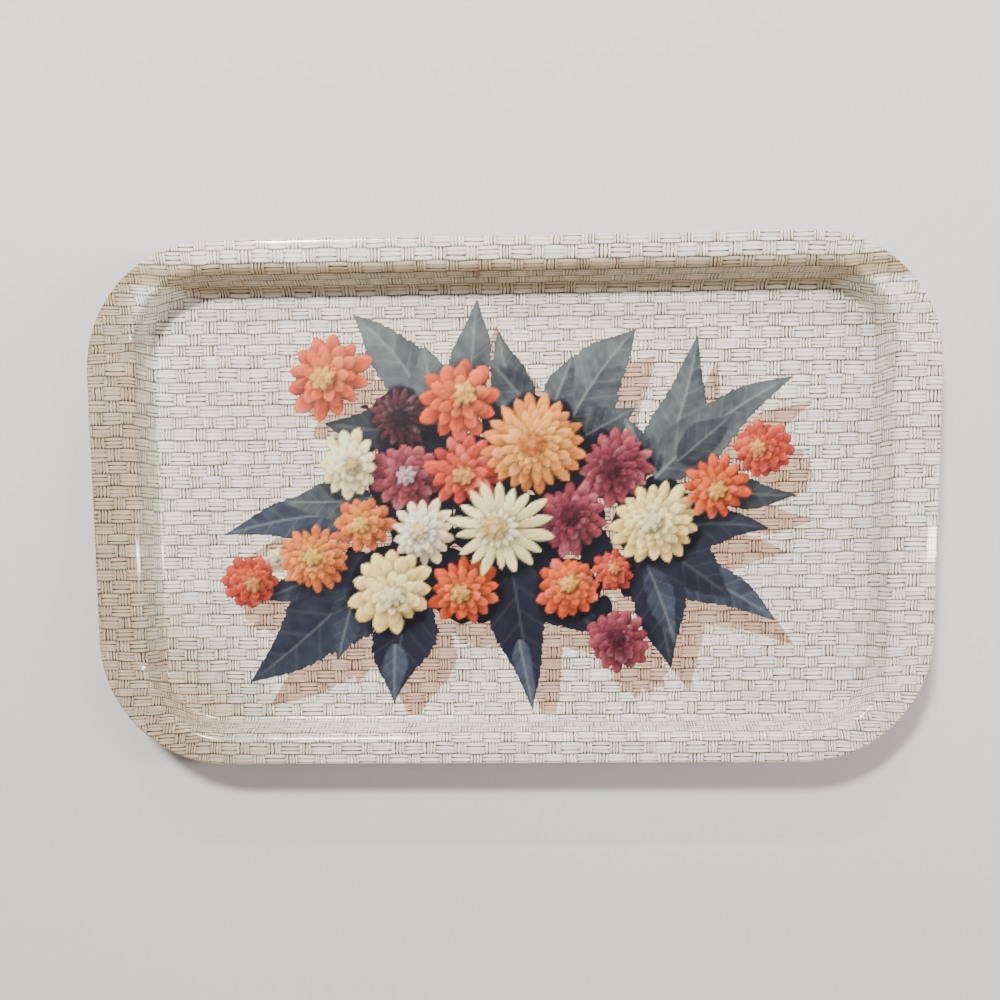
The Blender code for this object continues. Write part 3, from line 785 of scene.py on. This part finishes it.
def set_print(mesh, blank, grid_x, grid_y, first):
    """Stores the blank's places and the picture's colours on the mesh's points."""
    total = len(mesh.vertices)
    place = np.zeros((total, 3), np.float32)
    place[:, :2] = blank
    mesh.attributes.new("blank", "FLOAT_VECTOR", "POINT").data.foreach_set("vector", place.ravel())
    x, y = grid_x / MM, grid_y / MM
    picture = draw_bunch(x, y)
    shadow = draw_bunch(x - SHADOW_SHIFT[0], y - SHADOW_SHIFT[1])
    color = np.ones((total, 4), np.float32)
    color[first:, :3] = np.clip(picture.color, 0, 1)
    cover, cast = np.zeros(total, np.float32), np.zeros(total, np.float32)
    cover[first:], cast[first:] = picture.cover, shadow.cover
    mesh.attributes.new("picture", "FLOAT_COLOR", "POINT").data.foreach_set("color", color.ravel())
    mesh.attributes.new("cover", "FLOAT", "POINT").data.foreach_set("value", cover)
    mesh.attributes.new("cast", "FLOAT", "POINT").data.foreach_set("value", cast)


# ---- Metalwork under the tray ----
def new_piece(name, mesh, material):
    mesh.materials.append(material)
    mesh.shade_smooth()
    mesh.set_sharp_from_angle(angle=math.radians(38))
    piece = bpy.data.objects.new(name, mesh)
    bpy.context.scene.collection.objects.link(piece)
    return piece


def arc(x, z, radius, start, end, steps):
    angles = [math.radians(start + (end - start) * i / steps) for i in range(steps + 1)]
    return [(x + radius * math.cos(a), z + radius * math.sin(a)) for a in angles]


def add_slab(shape, outline, low, high, hole=None, edge=0.25 * MM, upright=False):
    """A plate with softened edges: an outline in X and Z run along Y, or in X and Y run up."""
    place = (lambda u, v, w: (u, v, w)) if upright else (lambda u, v, w: (u, w, v))
    start = len(shape.verts)
    edges = []
    for loop in filter(None, (outline, hole)):
        verts = [shape.verts.new(place(u, v, low)) for u, v in loop]
        edges += [shape.edges.new((a, b)) for a, b in zip(verts, verts[1:] + verts[:1])]
    filled = bmesh.ops.triangle_fill(shape, edges=edges, use_beauty=True)["geom"]
    faces = [g for g in filled if isinstance(g, bmesh.types.BMFace)]
    raised = bmesh.ops.extrude_face_region(shape, geom=faces, use_keep_orig=True)["geom"]
    moved = [g for g in raised if isinstance(g, bmesh.types.BMVert)]
    bmesh.ops.translate(shape, verts=moved, vec=place(0, 0, high - low))
    shape.verts.ensure_lookup_table()
    mine = set(shape.verts[start:])
    faces = [f for f in shape.faces if f.verts[0] in mine]
    bmesh.ops.recalc_face_normals(shape, faces=faces)
    sharp = [e for e in shape.edges if e.verts[0] in mine and e.is_manifold and e.calc_face_angle() > 0.7]
    bmesh.ops.bevel(shape, geom=sharp, offset=edge, segments=2, affect="EDGES", profile=0.5)


def add_loops(shape, loops, joined):
    """Quads between one ring of points and the next; joined closes the last to the first."""
    rings = [[shape.verts.new(p) for p in loop] for loop in loops]
    pairs = list(zip(rings, rings[1:])) + ([(rings[-1], rings[0])] if joined else [])
    made = []
    for first, second in pairs:
        for i in range(len(first)):
            j = (i + 1) % len(first)
            made.append(shape.faces.new((first[i], first[j], second[j], second[i])))
    if not joined:
        made += [shape.faces.new(rings[0][::-1]), shape.faces.new(rings[-1])]
    bmesh.ops.recalc_face_normals(shape, faces=made)


def turned(shape, profile, segments=40, joined=False):
    """A profile of (radius, place along Y) turned about Y."""
    turns = [2 * math.pi * i / segments for i in range(segments)]
    loops = [[(r * math.cos(a), y, r * math.sin(a)) for a in turns] for r, y in profile]
    add_loops(shape, loops, joined)


def finished(shape, name):
    mesh = bpy.data.meshes.new(name)
    shape.to_mesh(mesh)
    shape.free()
    return mesh


def rod_section(half_thick, half_high, roundness, count=28):
    points = []
    for i in range(count):
        a = 2 * math.pi * i / count
        c, d = math.cos(a), math.sin(a)
        points.append((math.copysign(abs(c) ** roundness, c) * half_thick,
                       math.copysign(abs(d) ** roundness, d) * half_high))
    return points


def leg_mesh(name):
    """The rod: round along its run and bends, squeezed flat at the ends, with pierced eyes."""
    flat = EYE_THICKNESS / 2 - EYE_SKIN
    half = [(EYE_RADIUS + 0.4 * MM, LEG_HALF_WIDTH, (1, 0), 0.0), (ROD_START, LEG_HALF_WIDTH, (1, 0), 0.0)]
    for i in range(1, 7):
        x = ROD_START + (FLAT_LENGTH + 2 * MM - ROD_START) * i / 6
        half.append((x, LEG_HALF_WIDTH, (1, 0), i / 6))
    bend_x, bend_y = LEG_LENGTH - BEND_RADIUS, LEG_HALF_WIDTH - BEND_RADIUS
    for i in range(19):
        a = math.pi / 2 * i / 18
        half.append((bend_x + BEND_RADIUS * math.sin(a), bend_y + BEND_RADIUS * math.cos(a),
                     (math.cos(a), -math.sin(a)), 1.0))
    path = half + [(x, -y, (-tx, ty), w) for x, y, (tx, ty), w in reversed(half)]
    shape = bmesh.new()
    loops = []
    for x, y, (tx, ty), weight in path:
        share = weight * weight * (3 - 2 * weight)
        thick = flat + (ROD_RADIUS - flat) * share
        high = FLAT_HALF_WIDTH - EYE_SKIN + (ROD_RADIUS - FLAT_HALF_WIDTH + EYE_SKIN) * share
        section = rod_section(thick, high, 0.45 + 0.55 * share)
        loops.append([(x - ty * u, y + tx * u, w) for u, w in section])
    add_loops(shape, loops, False)
    outline = arc(0, 0, EYE_RADIUS, 52, 180, 16) + [(HEEL_X, HEEL_Z)] + arc(0, 0, EYE_RADIUS, 270, 308, 5)
    outline = [(ROD_START, -FLAT_HALF_WIDTH), (ROD_START, FLAT_HALF_WIDTH)] + outline
    hole = arc(0, 0, PIN_RADIUS + GAP, 0, 350, 35)
    for sign in (-1, 1):
        middle = sign * LEG_HALF_WIDTH
        add_slab(shape, outline, middle - EYE_THICKNESS / 2, middle + EYE_THICKNESS / 2, hole)
    return finished(shape, name)


def foot_mesh():
    """A moulded sleeve: soft square section, shallow grip grooves, and a bore for the rod."""
    shape = bmesh.new()
    half, length = FOOT_SIZE / 2, FOOT_LENGTH / 2
    bore = ROD_RADIUS + GAP
    stations = [(bore, -length), (bore + 0.8 * MM, -length), (half - FOOT_ROUNDING, -length + 0.05 * MM)]
    stations += [(half - FOOT_ROUNDING + FOOT_ROUNDING * math.sin(a),
                  -length + FOOT_ROUNDING * (1 - math.cos(a)))
                 for a in (math.radians(d) for d in (20, 40, 60, 75, 90))]
    y = -length + 5 * MM
    while y < length - 5.5 * MM:
        stations += [(half, y), (half - GROOVE_DEPTH, y + 0.35 * MM),
                     (half - GROOVE_DEPTH, y + 0.9 * MM), (half, y + 1.25 * MM)]
        y += GROOVE_PITCH
    stations += [(size, -y) for size, y in reversed(stations[:8])]
    loops = []
    for size, y in stations:
        round_share = min(max((half - 1.2 * MM - size) / (half - 1.2 * MM - bore), 0.0), 1.0)
        section = rod_section(size, size, 0.42 + 0.58 * round_share, 44)
        loops.append([(u, y, w) for u, w in section])
    add_loops(shape, loops, True)
    return finished(shape, "foot")


def add_weld(shape, x, y, z):
    """A spot weld's shallow button, hanging from a face that looks down."""
    outline = arc(x, y, WELD_RADIUS, 0, 350, 24)
    add_slab(shape, outline, z - WELD_HEIGHT, z + 0.1 * MM, edge=0.12 * MM, upright=True)


def bracket_mesh():
    """The channel: a welded plate with round corners and two pierced ears."""
    shape = bmesh.new()
    top = PIVOT_DROP - GAP
    half_x, half_y, corner = BRACKET_LENGTH / 2, BRACKET_WIDTH / 2, BRACKET_CORNER
    outline = []
    for quarter, (sx, sy) in enumerate(((1, 1), (-1, 1), (-1, -1), (1, -1))):
        outline += arc(sx * (half_x - corner), sy * (half_y - corner), corner,
                       90 * quarter, 90 * quarter + 90, 8)
    add_slab(shape, outline, top - BRACKET_SHEET, top, upright=True)
    half = EAR_LENGTH / 2
    low = EAR_CORNER
    ear = [(half, top - BRACKET_SHEET / 2), (-half, top - BRACKET_SHEET / 2)]
    ear += arc(-half + low, -EAR_BELOW + low, low, 180, 270, 10)
    ear += arc(half - low, -EAR_BELOW + low, low, 270, 360, 10)
    hole = arc(0, 0, PIN_RADIUS + GAP, 0, 350, 35)
    for sign in (-1, 1):
        inside, outside = sign * EAR_INSIDE, sign * (EAR_INSIDE + BRACKET_SHEET)
        add_slab(shape, ear, min(inside, outside), max(inside, outside), hole)
    for x in (-WELD_X, WELD_X):
        for y in (-WELD_Y, WELD_Y):
            add_weld(shape, x, y, top - BRACKET_SHEET)
    return finished(shape, "bracket")


def pin_mesh():
    shape = bmesh.new()
    half = EAR_INSIDE + BRACKET_SHEET + GAP
    head = [(0.02 * MM, half + PIN_HEAD_HEIGHT)]
    head += [(PIN_HEAD_RADIUS * math.sin(a), half + PIN_HEAD_HEIGHT * math.cos(a) ** 0.8)
             for a in (math.radians(d) for d in (12, 25, 38, 50, 62, 72, 80, 86))]
    head += [(PIN_HEAD_RADIUS, half + 0.1 * MM), (PIN_HEAD_RADIUS - 0.1 * MM, half), (PIN_RADIUS, half)]
    turned(shape, head + [(r, -y) for r, y in reversed(head)])
    return finished(shape, "pin")


def washer_mesh():
    shape = bmesh.new()
    inner, outer, half, soft = PIN_RADIUS + GAP, WASHER_RADIUS, WASHER_THICKNESS / 2, 0.15 * MM
    profile = [(inner + soft, half), (outer - soft, half), (outer, half - soft), (outer, soft - half),
               (outer - soft, -half), (inner + soft, -half), (inner, soft - half), (inner, half - soft)]
    turned(shape, profile, joined=True)
    return finished(shape, "washer")


def clip_mesh():
    """A sprung clip bent from strip: flat base, bowed jaws, a waist and flared lips."""
    base_z = PIVOT_DROP - GAP - CLIP_SHEET / 2
    jaw_x, shoulder = CLIP_WAIST + CLIP_SHEET / 2, CLIP_SHOULDER
    half = [(0.0, base_z)] + arc(jaw_x - shoulder / 2, base_z - shoulder, shoulder, 90, 0, 9)
    half += [(jaw_x + CLIP_BULGE, 0.0), (jaw_x, -CLIP_WAIST_DROP), (jaw_x + CLIP_LIP_FLARE, -CLIP_LIP_DROP)]
    line = [(-x, z) for x, z in reversed(half[1:])] + half
    sides = ([], [])
    for i, (x, z) in enumerate(line):
        before, after = line[max(i - 1, 0)], line[min(i + 1, len(line) - 1)]
        run, rise = after[0] - before[0], after[1] - before[1]
        length = math.hypot(run, rise)
        for side, offset in zip(sides, (CLIP_SHEET / 2, -CLIP_SHEET / 2)):
            side.append((x - rise / length * offset, z + run / length * offset))
    shape = bmesh.new()
    add_slab(shape, sides[0] + sides[1][::-1], -CLIP_WIDTH / 2, CLIP_WIDTH / 2, edge=0.18 * MM)
    return finished(shape, "clip")


def middle(node):
    low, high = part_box(node)
    return (Vector(low) + Vector(high)) / 2


def make_metalwork(finishes):
    shapes = {"hinge_bracket": bracket_mesh(), "pivot_pin": pin_mesh(), "pivot_washer": washer_mesh(),
              "foot_sleeve": foot_mesh(), "leg_clip": clip_mesh()}
    for side, inward in SIDES:
        turn = 0.0 if inward > 0 else math.pi
        nodes = ["leg_clip_" + side]
        for row, _ in ROWS:
            corner = side + "_" + row
            nodes += ["hinge_bracket_" + corner, "pivot_pin_" + corner, "foot_sleeve_" + corner]
            nodes += ["pivot_washer_" + corner + place for place in ("_inner", "_outer")]
        pivot = middle("pivot_pin_" + side + "_front")
        for node in nodes:
            kind = next(k for k in shapes if node.startswith(k))
            piece = new_piece("fine_" + node, shapes[kind].copy(), finishes[kind])
            piece.location = middle(node)
            if kind != "foot_sleeve":
                piece.location.z = pivot.z
            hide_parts(node)
            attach(piece, side + "_leg" if kind == "foot_sleeve" else "tray")
        leg = new_piece("fine_leg_frame_" + side, leg_mesh("leg_" + side), finishes["leg_frame"])
        leg.location = (pivot.x, 0.0, pivot.z)
        leg.rotation_euler = (0.0, 0.0, turn)
        bpy.context.view_layer.update()
        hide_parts("leg_frame_" + side)
        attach(leg, side + "_leg")


# ---- Stage, light and camera ----
def make_one_sided(tree, shader):
    """The floor is clear from below, so that the underside can be looked at."""
    clear = tree.nodes.new("ShaderNodeBsdfTransparent")
    mix = tree.nodes.new("ShaderNodeMixShader")
    facing = tree.nodes.new("ShaderNodeNewGeometry")
    tree.links.new(facing.outputs["Backfacing"], mix.inputs["Fac"])
    tree.links.new(shader.outputs["BSDF"], mix.inputs[1])
    tree.links.new(clear.outputs["BSDF"], mix.inputs[2])
    tree.links.new(mix.outputs["Shader"], tree.nodes["Material Output"].inputs["Surface"])


def make_stage():
    bpy.ops.mesh.primitive_plane_add(size=14.0, location=(0, 0, -0.0005))
    ground = bpy.context.object
    ground.name = "studio_floor"
    material, tree, shader = new_material("studio_paper", roughness=0.85)
    mottle = noise(tree, object_position(tree), 3.0, 2.0)
    connect(tree, blend_color(tree, mottle, srgb(222, 219, 214), srgb(228, 226, 222)),
            shader.inputs["Base Color"])
    make_one_sided(tree, shader)
    ground.data.materials.append(material)
    world = bpy.data.worlds.new("studio")
    bpy.context.scene.world = world
    world.use_nodes = True
    background = world.node_tree.nodes["Background"]
    background.inputs["Color"].default_value = (*srgb(226, 226, 228), 1.0)
    background.inputs["Strength"].default_value = 0.24


def add_light(name, place, target, size, power, color, size_y=None):
    data = bpy.data.lights.new(name, "AREA")
    data.shape = "RECTANGLE"
    data.size, data.size_y = size, size_y or size
    data.energy = power
    data.color = color
    light = bpy.data.objects.new(name, data)
    bpy.context.scene.collection.objects.link(light)
    light.location = place
    light.rotation_euler = (Vector(target) - Vector(place)).to_track_quat("-Z", "Y").to_euler()


def make_lights():
    add_light("key", (-0.46, 0.98, 1.66), (0, 0, 0), 0.34, 58.0, (1.0, 0.985, 0.96), 0.2)
    add_light("right_strip", (1.15, 0.0, 1.0), (0, 0, 0), 0.06, 13.0, (1.0, 0.96, 0.96), 1.0)
    add_light("top_strip", (0.1, 1.25, 0.9), (0, 0, 0), 1.1, 11.0, (1.0, 0.99, 0.97), 0.05)
    add_light("warm_bounce", (0.0, -1.1, 0.3), (0, 0, 0), 1.3, 2.4, (1.0, 0.66, 0.38), 0.3)


def make_camera():
    """The photograph's view: nearly square on to the tray's face, from a little below its middle."""
    data = bpy.data.cameras.new("camera")
    data.sensor_width = 36.0
    data.lens = 36.0
    data.shift_y = VIEW_SHIFT
    camera = bpy.data.objects.new("camera", data)
    bpy.context.scene.collection.objects.link(camera)
    camera.location = (VIEW_PLACE[0], VIEW_PLACE[1], RIM_Z + VIEW_PLACE[2])
    view = Euler([math.radians(a) for a in VIEW_TURN], "XYZ").to_matrix().transposed()
    camera.rotation_euler = view.to_euler()
    bpy.context.scene.camera = camera


tray = make_tray()
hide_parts("tray_pan")
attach(tray, "tray")

FINISHES = {
    "hinge_bracket": metal_material("bracket_steel", srgb(176, 170, 156), srgb(140, 132, 118), 0.38,
                                    (0.05, 1.0, 1.0), 0.5),
    "pivot_pin": metal_material("pin_steel", srgb(196, 194, 188), srgb(160, 156, 148), 0.32,
                                (1.0, 0.1, 1.0), 0.3),
    "pivot_washer": soft_material("washer_nylon", srgb(226, 220, 202), srgb(206, 196, 172), 0.5),
    "leg_frame": metal_material("leg_lacquer", srgb(198, 164, 104), srgb(160, 124, 70), 0.3,
                                (0.08, 0.3, 1.0), 0.35),
    "foot_sleeve": soft_material("foot_vinyl", srgb(74, 52, 38), srgb(120, 98, 80), 0.6),
    "leg_clip": metal_material("clip_steel", srgb(112, 114, 122), srgb(74, 74, 82), 0.35,
                               (1.0, 0.06, 1.0), 0.3),
}
make_metalwork(FINISHES)

make_stage()
make_lights()
make_camera()
